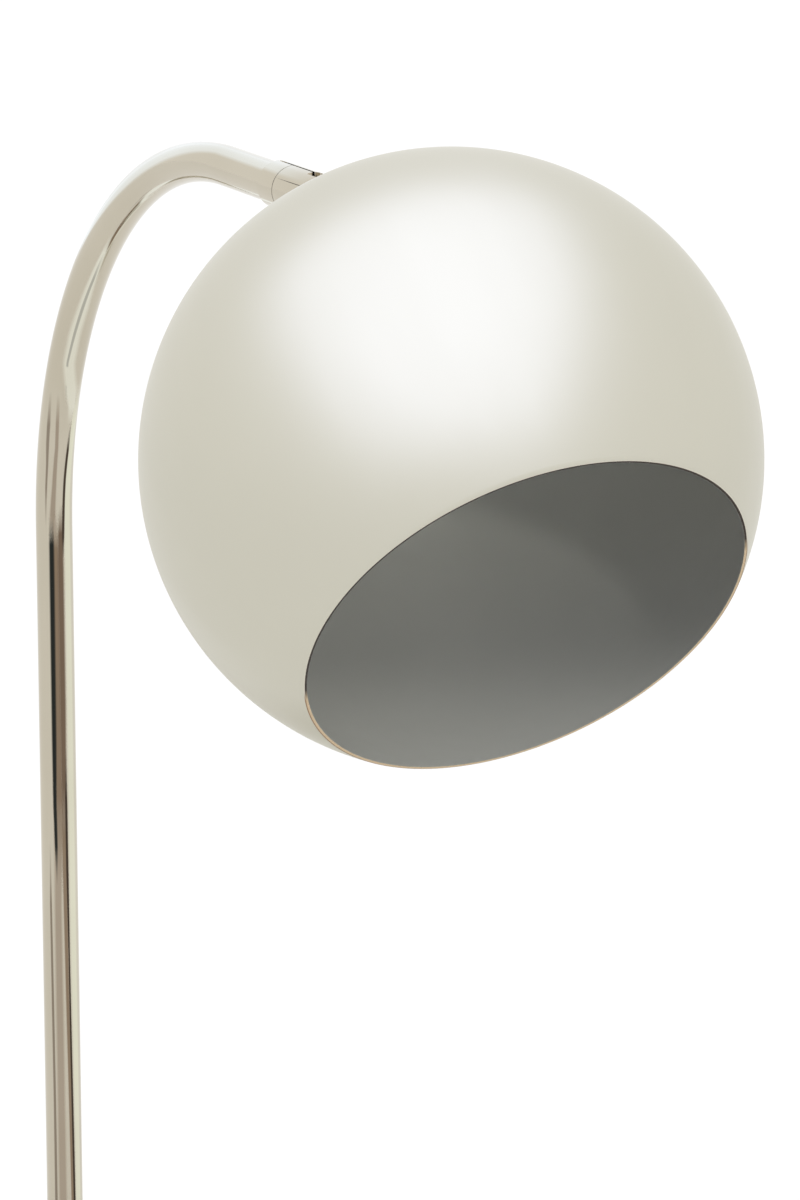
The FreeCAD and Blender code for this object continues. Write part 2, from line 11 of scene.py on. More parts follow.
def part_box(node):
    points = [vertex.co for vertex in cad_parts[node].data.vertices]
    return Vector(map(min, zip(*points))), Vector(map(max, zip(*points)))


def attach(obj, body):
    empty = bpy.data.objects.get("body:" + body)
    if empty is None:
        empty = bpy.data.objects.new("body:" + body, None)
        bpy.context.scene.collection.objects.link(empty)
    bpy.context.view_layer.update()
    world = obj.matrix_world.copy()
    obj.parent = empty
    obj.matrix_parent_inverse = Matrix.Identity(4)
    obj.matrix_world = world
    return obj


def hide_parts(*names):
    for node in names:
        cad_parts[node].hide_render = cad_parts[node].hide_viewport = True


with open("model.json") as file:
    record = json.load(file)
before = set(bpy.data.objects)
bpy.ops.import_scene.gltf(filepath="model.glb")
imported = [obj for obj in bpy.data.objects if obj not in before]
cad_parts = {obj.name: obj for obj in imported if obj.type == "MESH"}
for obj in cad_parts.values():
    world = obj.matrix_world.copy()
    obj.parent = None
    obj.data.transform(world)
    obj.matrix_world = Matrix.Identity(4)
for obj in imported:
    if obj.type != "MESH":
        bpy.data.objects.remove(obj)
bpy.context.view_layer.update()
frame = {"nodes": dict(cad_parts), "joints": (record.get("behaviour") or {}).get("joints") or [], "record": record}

MM = 0.001
JOINTS = {joint["name"]: joint for joint in frame["joints"]}

# ------------------------------------------------------------ places and sizes, from the frame

HINGE = Vector(JOINTS["head_tilt"]["pos_m"])
NECK_DIRECTION = Vector(JOINTS["head_swivel"]["axis"]).normalized()

SHADE_LOW, SHADE_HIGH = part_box("shade_shell")
SHADE_RADIUS = 100 * MM
SHADE_WALL = 0.8 * MM
SHADE_MOUTH_FROM_CENTRE = 67 * MM
SHADE_CENTRE = Vector((SHADE_LOW.x + SHADE_RADIUS, 0, SHADE_HIGH.z - SHADE_RADIUS))
HINGE_TO_CENTRE = (SHADE_CENTRE - HINGE).length
SHADE_DIRECTION = (SHADE_CENTRE - HINGE).normalized()
SHADE_HOLE_RADIUS = 4.95 * MM
SHADE_SEGMENTS = 288
SHADE_ARC_STEPS = 150
LINING = 0.06 * MM
RIM_TRIM = 0.0015  # the angle by which the shell's arcs stop short of its bare edge
RIM_BANDS_MEET = 0.22 * MM  # how far in from the outer rim one band ends and the next begins
# The bare edge's outline: each point's distance in from the outer rim and down from the mouth.
RIM_OUTLINE = (
    (0.02 * MM, 0.07 * MM),
    (0.10 * MM, 0),
    (RIM_BANDS_MEET, 0),
    (0.84 * MM, 0),
    (0.94 * MM, 0.04 * MM),
)
PAINTED_SHADING_ANGLE = math.radians(21)  # round the mouth, to the middle of the edge's lower half, toward which its painted light and shade change
PAINTED_SHADING_SIDE = (math.cos(PAINTED_SHADING_ANGLE), math.sin(PAINTED_SHADING_ANGLE), 0)

BASE_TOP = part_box("base_cover")[1].z
TUBE_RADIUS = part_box("arm_tube")[1].y
TUBE_WALL = 1.2 * MM
TUBE_SEGMENTS = 96
POLE_STEPS = 24
BEND_STEPS = 120
NECK_STEPS = 3
TUBE_END_TO_HINGE = 30 * MM
BEND_RADIUS = 156 * MM
BEND_ANGLE = math.acos(NECK_DIRECTION.z)
NECK_TO_HINGE = 77 * MM
ARC_START = HINGE.z - BEND_RADIUS * math.sin(BEND_ANGLE) - NECK_TO_HINGE * math.cos(BEND_ANGLE)


def frame_on(origin, direction):
    """A matrix whose Z lies along direction and whose Y stays the world's Y."""
    z_axis = direction.normalized()
    y_axis = Vector((0, 1, 0))
    x_axis = y_axis.cross(z_axis).normalized()
    columns = Matrix((x_axis, y_axis, z_axis)).transposed().to_4x4()
    return Matrix.Translation(origin) @ columns


HEAD_FRAME = frame_on(HINGE, SHADE_DIRECTION)

# ------------------------------------------------------------ materials


class Finish:
    """One procedural material: a Principled shader with noise-driven colour, roughness and bump."""

    def __init__(self, name, color, metallic, roughness, direction=None):
        self.material = bpy.data.materials.new(name)
        self.material.use_nodes = True
        self.nodes = self.material.node_tree.nodes
        self.links = self.material.node_tree.links
        self.shader = self.nodes["Principled BSDF"]
        self.shader.inputs["Base Color"].default_value = (*color, 1)
        self.shader.inputs["Metallic"].default_value = metallic
        self.shader.inputs["Roughness"].default_value = roughness
        self.place = self.nodes.new("ShaderNodeTexCoord").outputs["Object"]
        if direction:
            self.place = self.along(direction)
        self.bump = None

    def set(self, socket, value):
        """Sets one of the shader's own sockets to a constant."""
        self.shader.inputs[socket].default_value = value
        return self

    def along(self, direction):
        """Object coordinates, turned so that a direction becomes Z."""
        mapping = self.nodes.new("ShaderNodeMapping")
        turn = frame_on(Vector(), direction).to_3x3().inverted()
        mapping.inputs["Rotation"].default_value = turn.to_euler()
        self.links.new(self.place, mapping.inputs["Vector"])
        return mapping.outputs["Vector"]

    def stretched(self, stretch):
        """Object coordinates, scaled by a factor along each axis."""
        mapping = self.nodes.new("ShaderNodeMapping")
        mapping.inputs["Scale"].default_value = stretch
        self.links.new(self.place, mapping.inputs["Vector"])
        return mapping.outputs["Vector"]

    def noise(self, scale, detail=3.0, stretch=None):
        """Smooth noise; scale is in cells per metre."""
        node = self.nodes.new("ShaderNodeTexNoise")
        node.inputs["Scale"].default_value = scale
        node.inputs["Detail"].default_value = detail
        source = self.stretched(stretch) if stretch else self.place
        self.links.new(source, node.inputs["Vector"])
        return node.outputs["Fac"]

    def turned(self, pitch):
        """Fine rings about the finish's Z axis, as a lathe or a polishing wheel leaves them."""
        separate = self.nodes.new("ShaderNodeSeparateXYZ")
        self.links.new(self.place, separate.inputs[0])
        combine = self.nodes.new("ShaderNodeCombineXYZ")
        self.links.new(separate.outputs["Z"], combine.inputs["Z"])
        node = self.nodes.new("ShaderNodeTexNoise")
        node.inputs["Scale"].default_value = 1 / pitch
        node.inputs["Detail"].default_value = 2.0
        self.links.new(combine.outputs[0], node.inputs["Vector"])
        return node.outputs["Fac"]

    def spread(self, source, low, high, from_low=0.3, from_high=0.7):
        """Maps a noise value to a range."""
        node = self.nodes.new("ShaderNodeMapRange")
        node.inputs["From Min"].default_value = from_low
        node.inputs["From Max"].default_value = from_high
        node.inputs["To Min"].default_value = low
        node.inputs["To Max"].default_value = high
        self.links.new(source, node.inputs["Value"])
        return node.outputs["Result"]

    def rough(self, source, low, high):
        """Drives the roughness between two values."""
        value = self.spread(source, low, high)
        self.links.new(value, self.shader.inputs["Roughness"])
        return self

    def tint(self, source, color_low, color_high, from_low=0.3, from_high=0.7):
        """Drives the base colour between two colours."""
        ramp = self.nodes.new("ShaderNodeValToRGB")
        ramp.color_ramp.elements[0].position = from_low
        ramp.color_ramp.elements[0].color = (*color_low, 1)
        ramp.color_ramp.elements[1].position = from_high
        ramp.color_ramp.elements[1].color = (*color_high, 1)
        self.links.new(source, ramp.inputs["Fac"])
        self.links.new(ramp.outputs["Color"], self.shader.inputs["Base Color"])
        return self

    def relief(self, source, depth):
        """Adds a bump of the given depth, in metres, on top of the bumps before it."""
        node = self.nodes.new("ShaderNodeBump")
        node.inputs["Strength"].default_value = 1.0
        node.inputs["Distance"].default_value = depth
        self.links.new(source, node.inputs["Height"])
        if self.bump:
            self.links.new(self.bump, node.inputs["Normal"])
        self.bump = node.outputs["Normal"]
        self.links.new(self.bump, self.shader.inputs["Normal"])
        return self


def satin_nickel(name="satin_nickel", direction=None):
    """Champagne nickel, satin, with faint wiping marks."""
    finish = Finish(name, (0.575, 0.556, 0.469), 1.0, 0.42, direction)
    finish.tint(finish.noise(9.0), (0.568, 0.549, 0.462), (0.582, 0.563, 0.476))
    finish.rough(finish.noise(60.0, 5.0, (1, 1, 0.25)), 0.40, 0.44)
    finish.relief(finish.turned(0.5 * MM), 0.002 * MM)
    finish.relief(finish.noise(5200.0, 2.0), 0.002 * MM)
    return finish.material


def polished_nickel():
    """Bright nickel plate with a slight waviness and hairline polishing marks."""
    finish = Finish("polished_nickel", (0.525, 0.48, 0.385), 1.0, 0.05)
    finish.tint(finish.noise(14.0), (0.505, 0.46, 0.365), (0.545, 0.50, 0.405))
    finish.rough(finish.noise(220.0, 6.0, (1, 1, 0.08)), 0.035, 0.085)
    finish.relief(finish.noise(28.0, 1.0, (1, 1, 0.3)), 0.02 * MM)
    finish.relief(finish.noise(3800.0, 2.0, (1, 1, 0.03)), 0.0003 * MM)
    return finish.material


def inside_grey():
    """The shade's inner face: dark grey satin lacquer over bare metal."""
    finish = Finish("inside_grey", (0.45, 0.45, 0.42), 0.3, 0.38, SHADE_DIRECTION)
    finish.tint(finish.noise(18.0), (0.44, 0.44, 0.41), (0.46, 0.46, 0.43))
    finish.rough(finish.noise(140.0, 4.0), 0.36, 0.44)
    finish.relief(finish.turned(0.8 * MM), 0.004 * MM)
    finish.relief(finish.noise(2600.0, 3.0), 0.004 * MM)
    return finish.material


def bare_edge(name, upper, lower):
    """A band of the sheet's trimmed edge, of one colour along the top and another below: painted light and shade,
    with a random mottle that is the metal's own.
    """
    finish = Finish(name, lower, 1.0, 0.3, SHADE_DIRECTION)
    along = finish.nodes.new("ShaderNodeVectorMath")
    along.operation = "DOT_PRODUCT"
    along.inputs[1].default_value = PAINTED_SHADING_SIDE
    finish.links.new(finish.place, along.inputs[0])
    # painted light and shade, changing from the edge's top to its bottom
    painted_shading = finish.spread(along.outputs["Value"], 0.1, 0.9, -8 * MM, 8 * MM)
    mottle = finish.spread(finish.noise(90.0, 4.0), -0.2, 0.2)
    total = finish.nodes.new("ShaderNodeMath")
    total.operation = "ADD"
    finish.links.new(painted_shading, total.inputs[0])
    finish.links.new(mottle, total.inputs[1])
    finish.tint(total.outputs[0], upper, lower, 0.25, 0.75)
    finish.rough(finish.noise(900.0, 3.0), 0.22, 0.45)
    finish.relief(finish.noise(4000.0, 2.0), 0.01 * MM)
    return finish.material


def felt():
    """Black felt with short matted fibres."""
    finish = Finish("pad_felt", (0.02, 0.02, 0.022), 0.0, 0.95)
    finish.tint(finish.noise(1500.0, 5.0), (0.010, 0.010, 0.011), (0.045, 0.045, 0.048))
    finish.relief(finish.noise(1900.0, 6.0, (1, 0.35, 1)), 0.3 * MM)
    finish.relief(finish.noise(420.0, 3.0), 0.3 * MM)
    return finish.set("Sheen Weight", 0.4).material


def rubber():
    """Black moulded rubber."""
    finish = Finish("grommet_rubber", (0.025, 0.025, 0.025), 0.0, 0.6)
    finish.tint(finish.noise(300.0), (0.018, 0.018, 0.018), (0.035, 0.034, 0.033))
    finish.rough(finish.noise(700.0, 4.0), 0.5, 0.72)
    finish.relief(finish.noise(2500.0, 4.0), 0.02 * MM)
    return finish.material


def zinc_steel():
    """Bright zinc-plated steel with a faint blue cast and turning marks."""
    finish = Finish("zinc_steel", (0.62, 0.63, 0.65), 1.0, 0.3)
    finish.tint(finish.noise(160.0, 4.0), (0.52, 0.53, 0.56), (0.70, 0.70, 0.70))
    finish.rough(finish.noise(900.0, 4.0), 0.2, 0.42)
    finish.relief(finish.turned(0.25 * MM), 0.008 * MM)
    return finish.material


def brass():
    """Plain brass, a little dulled."""
    finish = Finish("brass_plain", (0.76, 0.56, 0.24), 1.0, 0.28)
    finish.tint(finish.noise(240.0, 4.0), (0.52, 0.36, 0.15), (0.80, 0.60, 0.27))
    finish.rough(finish.noise(800.0, 4.0), 0.2, 0.45)
    finish.relief(finish.turned(0.4 * MM), 0.006 * MM)
    return finish.material


def black_phenolic():
    """The lamp holder's black moulded plastic, with a fine orange-peel skin."""
    finish = Finish("holder_plastic", (0.02, 0.02, 0.02), 0.0, 0.38)
    finish.tint(finish.noise(420.0, 4.0), (0.014, 0.013, 0.013), (0.030, 0.028, 0.027))
    finish.rough(finish.noise(240.0, 4.0), 0.3, 0.46)
    finish.relief(finish.noise(1300.0, 2.0), 0.02 * MM)
    return finish.material


def nylon():
    """The friction washers' pale nylon."""
    finish = Finish("washer_plastic", (0.72, 0.70, 0.64), 0.0, 0.55)
    finish.tint(finish.noise(500.0), (0.66, 0.64, 0.58), (0.76, 0.74, 0.69))
    finish.relief(finish.noise(2400.0), 0.01 * MM)
    return finish.material


def cast_iron():
    """The weight's rough cast skin."""
    finish = Finish("cast_weight", (0.06, 0.06, 0.06), 0.6, 0.7)
    finish.tint(finish.noise(120.0, 5.0), (0.03, 0.028, 0.027), (0.10, 0.085, 0.075))
    finish.rough(finish.noise(500.0, 4.0), 0.6, 0.85)
    finish.relief(finish.noise(900.0, 6.0), 0.2 * MM)
    return finish.material


def cap_aluminium():
    """The bulb cap's thin rolled aluminium."""
    finish = Finish("bulb_cap_metal", (0.80, 0.80, 0.81), 1.0, 0.25)
    finish.tint(finish.noise(300.0), (0.70, 0.70, 0.72), (0.84, 0.84, 0.84))
    finish.rough(finish.noise(900.0, 4.0), 0.18, 0.36)
    finish.relief(finish.noise(1500.0, 3.0), 0.008 * MM)
    return finish.material


def bulb_plastic():
    """The bulb housing's white moulded plastic."""
    finish = Finish("bulb_plastic", (0.80, 0.80, 0.78), 0.0, 0.4)
    finish.tint(finish.noise(200.0), (0.77, 0.77, 0.75), (0.82, 0.82, 0.81))
    finish.rough(finish.noise(600.0, 3.0), 0.34, 0.48)
    finish.relief(finish.noise(1800.0, 2.0), 0.006 * MM)
    return finish.set("Subsurface Weight", 0.1).set("Subsurface Scale", 2 * MM).material


def bulb_opal():
    """The bulb's opal globe."""
    finish = Finish("bulb_opal", (0.88, 0.88, 0.86), 0.0, 0.3)
    finish.tint(finish.noise(60.0), (0.86, 0.86, 0.84), (0.90, 0.90, 0.88))
    finish.rough(finish.noise(400.0, 3.0), 0.24, 0.38)
    finish.relief(finish.noise(1500.0, 2.0), 0.004 * MM)
    return finish.set("Subsurface Weight", 0.3).set("Subsurface Scale", 4 * MM).material


MATERIALS = {
    "satin_nickel": satin_nickel(),
    "polished_nickel": polished_nickel(),
    "cast_weight": cast_iron(),
    "pad_felt": felt(),
    "grommet_rubber": rubber(),
    "zinc_steel": zinc_steel(),
    "brass_plain": brass(),
    "washer_plastic": nylon(),
    "holder_plastic": black_phenolic(),
    "bulb_cap_metal": cap_aluminium(),
    "bulb_plastic": bulb_plastic(),
    "bulb_opal": bulb_opal(),
}
SHADE_NICKEL = satin_nickel("shade_nickel", SHADE_DIRECTION)
INSIDE_GREY = inside_grey()
# Painted light and shade on the bare edge: the outer band's light top is a painted highlight; the inner band's
# dark top is painted shade and its gold bottom a painted highlight.
OUTER_EDGE = bare_edge("outer_edge", (0.60, 0.57, 0.48), (0.28, 0.175, 0.10))
INNER_EDGE = bare_edge("inner_edge", (0.035, 0.025, 0.019), (0.55, 0.43, 0.28))

# ------------------------------------------------------------ mesh tools


def arc_points(centre, radius, start, end, steps):
    """Points on an arc in the (radius, height) half-plane; angles in radians from +radius."""
    points = []
    for step in range(steps + 1):
        angle = start + (end - start) * step / steps
        points.append((
            centre[0] + radius * math.cos(angle),
            centre[1] + radius * math.sin(angle),
        ))
    return points


SMOOTH_BELOW = math.radians(40)


def new_piece(name, mesh_source, matrix, materials):
    """An object from a bmesh turned and placed by a matrix, smooth but for its sharp edges."""
    bmesh.ops.recalc_face_normals(mesh_source, faces=mesh_source.faces)
    mesh = bpy.data.meshes.new(name)
    mesh_source.to_mesh(mesh)
    mesh_source.free()
    mesh.transform(matrix.to_3x3().to_4x4())
    for material in materials:
        mesh.materials.append(material)
    mesh.shade_smooth()
    mesh.set_sharp_from_angle(angle=SMOOTH_BELOW)
    piece = bpy.data.objects.new(name, mesh)
    bpy.context.scene.collection.objects.link(piece)
    piece.matrix_world = Matrix.Translation(matrix.translation)
    return piece


def lathe(outline, segments, material_of=None):
    """A closed solid of revolution about Z from a closed (radius, height) outline."""
    source = bmesh.new()
    rings = []
    for turn in range(segments):
        angle = math.pi + 2 * math.pi * turn / segments
        ring = []
        for radius, height in outline:
            ring.append(source.verts.new((
                radius * math.cos(angle),
                radius * math.sin(angle),
                height,
            )))
        rings.append(ring)
    count = len(outline)
    for turn in range(segments):
        this_ring = rings[turn]
        next_ring = rings[(turn + 1) % segments]
        for index in range(count):
            after = (index + 1) % count
            face = source.faces.new((
                this_ring[index],
                next_ring[index],
                next_ring[after],
                this_ring[after],
            ))
            if material_of:
                face.material_index = material_of(index)
    return source


# ------------------------------------------------------------ pieces


def shade_outline(outer_radius, inner_radius):
    """The (radius, height) outline of a spherical shell, open at the mouth and at the rod."""
    centre = (0.0, HINGE_TO_CENTRE)
    outer_start = -math.acos(SHADE_HOLE_RADIUS / outer_radius)
    outer_end = math.asin(SHADE_MOUTH_FROM_CENTRE / outer_radius) - RIM_TRIM
    inner_start = math.asin(SHADE_MOUTH_FROM_CENTRE / inner_radius) - RIM_TRIM
    inner_end = -math.acos(SHADE_HOLE_RADIUS / inner_radius)
    outer = arc_points(centre, outer_radius, outer_start, outer_end, SHADE_ARC_STEPS)
    inner = arc_points(centre, inner_radius, inner_start, inner_end, SHADE_ARC_STEPS)
    return outer, inner


def bare_edge_points():
    """The trimmed edge's outline, from the outer face to the inner, with its corners broken."""
    mouth = HINGE_TO_CENTRE + SHADE_MOUTH_FROM_CENTRE
    rim = math.sqrt(SHADE_RADIUS ** 2 - SHADE_MOUTH_FROM_CENTRE ** 2)
    return [(rim - inward, mouth - down) for inward, down in RIM_OUTLINE]


def shade():
    """The globe's metal shell, with a bare edge in two bands."""
    outer, inner = shade_outline(SHADE_RADIUS, SHADE_RADIUS - SHADE_WALL + LINING)
    outer_band = range(len(outer) - 1, len(outer) + 2)
    inner_band = range(len(outer) + 2, len(outer) + 4)

    def material_of(index):
        if index in outer_band:
            return 1
        return 2 if index in inner_band else 0

    source = lathe(outer + bare_edge_points() + inner, SHADE_SEGMENTS, material_of)
    piece = new_piece("globe_shade", source, HEAD_FRAME, [SHADE_NICKEL, OUTER_EDGE, INNER_EDGE])
    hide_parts("shade_shell")
    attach(piece, "head")


def shade_lining():
    """The film of grey lacquer on the globe's inner face."""
    outer, inner = shade_outline(SHADE_RADIUS - SHADE_WALL + LINING, SHADE_RADIUS - SHADE_WALL)
    source = lathe(outer + inner, SHADE_SEGMENTS)
    piece = new_piece("shade_lining", source, HEAD_FRAME, [INSIDE_GREY])
    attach(piece, "head")
    return piece


def tube_centre(distance):
    """The tube's centre and angle at a distance along it from the bend's start."""
    angle = min(max(distance / BEND_RADIUS, 0), BEND_ANGLE)
    along = Vector((math.sin(angle), 0, math.cos(angle)))
    centre = Vector((BEND_RADIUS * (1 - along.z), 0, ARC_START + BEND_RADIUS * along.x))
    return centre + along * (distance - BEND_RADIUS * angle), angle


def tube_distances():
    """Where the tube's rings lie along it: down the pole, round the bend and out to its end."""
    pole = ARC_START - BASE_TOP
    bend = BEND_RADIUS * BEND_ANGLE
    neck = NECK_TO_HINGE - TUBE_END_TO_HINGE
    distances = [pole * (step / POLE_STEPS - 1) for step in range(POLE_STEPS)]
    distances += [bend * step / BEND_STEPS for step in range(BEND_STEPS)]
    distances += [bend + neck * step / NECK_STEPS for step in range(NECK_STEPS + 1)]
    return distances


def ring_faces(source, first_ring, second_ring):
    """The faces that join two rings of as many points."""
    for index in range(len(first_ring)):
        after = (index + 1) % len(first_ring)
        source.faces.new((
            first_ring[index],
            first_ring[after],
            second_ring[after],
            second_ring[index],
        ))


def arm():
    """The bent tube: an outer and an inner skin joined at both ends."""
    source = bmesh.new()
    skins = []
    for radius in (TUBE_RADIUS, TUBE_RADIUS - TUBE_WALL):
        rings = []
        for distance in tube_distances():
            centre, angle = tube_centre(distance)
            across = Vector((math.cos(angle), 0, -math.sin(angle)))
            ring = []
            for segment in range(TUBE_SEGMENTS):
                turn = 2 * math.pi * segment / TUBE_SEGMENTS
                offset = across * math.cos(turn) + Vector((0, 1, 0)) * math.sin(turn)
                ring.append(source.verts.new(centre + offset * radius))
            rings.append(ring)
        for this_ring, next_ring in zip(rings, rings[1:]):
            ring_faces(source, this_ring, next_ring)
        skins.append(rings)
    outer_rings, inner_rings = skins
    for end in (0, -1):
        ring_faces(source, outer_rings[end], inner_rings[end])
    piece = new_piece("bent_tube", source, Matrix.Identity(4), [MATERIALS["polished_nickel"]])
    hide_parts("arm_tube")
    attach(piece, "stand")


EDGE_WIDTH = 0.12 * MM
WIDER_EDGES = {
    "foot_ring": 0.25 * MM,
    "neck_collar": 0.15 * MM,
    "swivel_fork": 0.18 * MM,
    "tilt_tongue": 0.2 * MM,
    "holder_cap": 0.3 * MM,
    "holder_body": 0.4 * MM,
}
EDGE_SEGMENTS = 3
SHARP_ANGLE = math.radians(35)
WELD_DISTANCE = 0.001 * MM
LARGE_FACE_WEIGHT = 100


def carried_over():
    """Gives every CAD node that stays its slot's material and softens its sharp edges."""
    for entry in frame["record"]["subparts"]:
        node = frame["nodes"][entry["node"]]
        node.data.materials.clear()
        node.data.materials.append(MATERIALS[entry["material_slot"]])
        weld = node.modifiers.new("weld", "WELD")
        weld.merge_threshold = WELD_DISTANCE
        bevel = node.modifiers.new("bevel", "BEVEL")
        bevel.width = WIDER_EDGES.get(entry["node"], EDGE_WIDTH)
        bevel.segments = EDGE_SEGMENTS
        bevel.limit_method = "ANGLE"
        bevel.angle_limit = SHARP_ANGLE
        normals = node.modifiers.new("normals", "WEIGHTED_NORMAL")
        normals.weight = LARGE_FACE_WEIGHT


# ------------------------------------------------------------ stage, light and camera

CAMERA_PLACE = Vector((1.57047, -0.65102, 0.71234))
CAMERA_AZIMUTH = math.radians(62.947)
CAMERA_ELEVATION = math.radians(11.721)
CAMERA_LENS = 133.09
CAMERA_SENSOR = 36.0
CAMERA_REACH = 100
POLE_TO_CAMERA = math.atan2(CAMERA_PLACE.x, -CAMERA_PLACE.y)
FLOOR_SIZE = 30.0
WORLD_STRENGTH = 1.10

# The softbox hangs over the shade, a little toward the camera and to its left.
SOFTBOX_TOWARD_CAMERA = 0.46
SOFTBOX_TO_THE_LEFT = 0.29
SOFTBOX_ABOVE = 0.9
SOFTBOX_SIZE = (2.1, 2.7)
SOFTBOX_POWER = 18
SOFTBOX_COLOR = (0.63, 0.69, 1.0)
SOFTBOX_TILT = math.radians(20)
SOFTBOX_TURN = math.radians(10)

# Each fill: azimuth and elevation as seen from the shade's centre, size and power.
FILLS = {
    "fill_low": (-2, 12, (0.09, 0.09), 3.2),
    "fill_high": (6, 38, (0.7, 0.5), 14.0),
}
FILL_DISTANCE = 1.35
FILL_COLOR = (1.0, 1.0, 0.94)

# The cards stand in for the room that the photographed pole mirrors, and suit that view alone.
# Each has a name, its light and its stations. A station is a place along the tube, a height for
# the pole or a distance from the bend's start for the arc, and the two shares of the tube's half
# width, left to right, where the camera finds the card's edges. They were picked one by one.
POLE_CARDS = (
    ("black", (0.040, 0.048, 0.053), (
        (0.244, -0.18, -0.12),
        (0.260, -0.27, -0.06),
        (0.278, -0.33, -0.07),
        (0.304, -0.35, -0.02),
        (0.333, -0.35, 0.00),
        (0.365, -0.34, 0.02),
        (0.382, -0.33, 0.02),
        (0.392, -0.30, -0.02),
    )),
    ("edge", (0.095, 0.076, 0.068), (
        (0.030, 0.54, 0.68),
        (0.060, 0.52, 0.66),
        (0.100, 0.48, 0.63),
        (0.133, 0.45, 0.60),
        (0.176, 0.41, 0.55),
        (0.216, 0.40, 0.51),
        (0.250, 0.34, 0.51),
        (0.280, 0.34, 0.50),
        (0.300, 0.40, 0.50),
    )),
    ("bend", (0.115, 0.092, 0.082), (
        (0.376, 0.42, 0.52),
        (0.384, 0.40, 0.56),
        (0.392, 0.42, 0.60),
        (0.405, 0.45, 0.62),
        (0.416, 0.50, 0.66),
        (0.428, 0.52, 0.62),
    )),
    ("brown", (0.31, 0.24, 0.20), (
        (0.258, 0.16, 0.42),
        (0.284, 0.14, 0.48),
        (0.316, 0.12, 0.53),
        (0.375, 0.12, 0.53),
        (0.386, 0.16, 0.54),
        (0.396, 0.26, 0.56),
    )),
    ("tan", (0.47, 0.38, 0.32), (
        (0.040, 0.40, 0.56),
        (0.100, 0.36, 0.54),
        (0.154, 0.28, 0.50),
        (0.197, 0.21, 0.46),
        (0.235, 0.15, 0.44),
        (0.264, 0.12, 0.44),
        (0.290, 0.12, 0.44),
    )),
    ("middle", (0.44, 0.35, 0.29), (
        (0.245, -0.14, 0.20),
        (0.280, -0.20, 0.28),
        (0.351, -0.20, 0.28),
        (0.380, -0.20, 0.28),
        (0.394, -0.16, 0.24),
    )),
    ("pale", (0.70, 0.64, 0.61), (
        (0.010, -0.38, 0.22),
        (0.050, -0.38, 0.20),
        (0.150, -0.38, 0.16),
        (0.235, -0.36, 0.14),
        (0.264, -0.34, 0.26),
        (0.290, -0.30, 0.26),
    )),
    ("low", (0.46, 0.42, 0.40), (
        (0.020, -0.58, -0.40),
        (0.080, -0.58, -0.38),
        (0.154, -0.56, -0.38),
        (0.216, -0.58, -0.42),
        (0.236, -0.58, -0.44),
        (0.262, -0.54, -0.46),
    )),
    ("high", (0.50, 0.46, 0.44), (
        (0.388, -0.50, -0.40),
        (0.402, -0.50, -0.36),
        (0.411, -0.48, -0.32),
        (0.419, -0.52, -0.30),
        (0.426, -0.52, -0.28),
        (0.440, -0.48, -0.30),
    )),
    ("top", (0.64, 0.58, 0.55), (
        (0.384, -0.34, 0.12),
        (0.392, -0.28, 0.12),
        (0.402, -0.16, 0.14),
        (0.416, -0.06, 0.15),
        (0.426, -0.08, 0.10),
        (0.440, -0.08, 0.04),
    )),
    ("bright", (1.32, 1.41, 1.39), (
        (0.000, 0.64, 0.96),
        (0.040, 0.62, 0.94),
        (0.133, 0.58, 0.92),
        (0.235, 0.48, 0.92),
        (0.400, 0.50, 0.92),
        (0.425, 0.58, 0.94),
        (0.445, 0.64, 0.94),
    )),
)
ARC_CARDS = (
    ("core", (0.78, 0.83, 0.88), (
        (54 * MM, 0.24, 0.36),
        (73 * MM, 0.0, 0.14),
        (87 * MM, 0.04, 0.22),
        (101 * MM, 0.10, 0.30),
        (118 * MM, 0.20, 0.36),
        (135 * MM, 0.24, 0.34),
    )),
    ("gleam", (1.32, 1.40, 1.46), (
        (44 * MM, 0.50, 0.90),
        (52 * MM, 0.42, 0.88),
        (60 * MM, 0.12, 0.88),
        (73 * MM, -0.25, 0.56),
        (87 * MM, -0.26, 0.54),
        (101 * MM, -0.14, 0.58),
        (118 * MM, 0.0, 0.50),
        (135 * MM, 0.12, 0.40),
        (150 * MM, 0.18, 0.28),
    )),
    ("crown", (1.36, 1.47, 1.64), (
        (118 * MM, -1.0, -0.93),
        (135 * MM, -1.0, -0.86),
        (150 * MM, -1.0, -0.74),
        (177 * MM, -1.0, -0.52),
        (204 * MM, -1.0, -0.36),
        (253 * MM, -1.0, -0.32),
        (300 * MM, -1.0, -0.30),
        (330 * MM, -1.0, -0.30),
    )),
)
RIBBON_STEPS = 16
RIBBON_FADE = 0.25
RIBBON_RADIUS = 18.5 * MM
RIBBON_SPACING = 0.25 * MM


def camera():
    """The camera at the photograph's angle."""
    data = bpy.data.cameras.new("camera")
    data.lens = CAMERA_LENS
    data.sensor_width = CAMERA_SENSOR
    data.clip_end = CAMERA_REACH
    piece = bpy.data.objects.new("camera", data)
    piece.location = CAMERA_PLACE
    piece.rotation_euler = (math.pi / 2 - CAMERA_ELEVATION, 0, CAMERA_AZIMUTH)
    bpy.context.scene.collection.objects.link(piece)
    bpy.context.scene.camera = piece


def stage_piece(name, corners, faces, material):
    """A mesh that belongs to the stage."""
    mesh = bpy.data.meshes.new(name)
    mesh.from_pydata(corners, [], faces)
    mesh.materials.append(material)
    piece = bpy.data.objects.new(name, mesh)
    bpy.context.scene.collection.objects.link(piece)
    piece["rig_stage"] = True
    return piece


def floor():
    """The pale floor."""
    finish = Finish("floor_white", (0.95, 0.95, 0.95), 0.0, 0.8)
    finish.tint(finish.noise(2.0), (0.94, 0.94, 0.94), (0.96, 0.96, 0.96))
    half = FLOOR_SIZE / 2
    corners = [(-half, -half, 0), (half, -half, 0), (half, half, 0), (-half, half, 0)]
    stage_piece("floor", corners, [(0, 1, 2, 3)], finish.material)


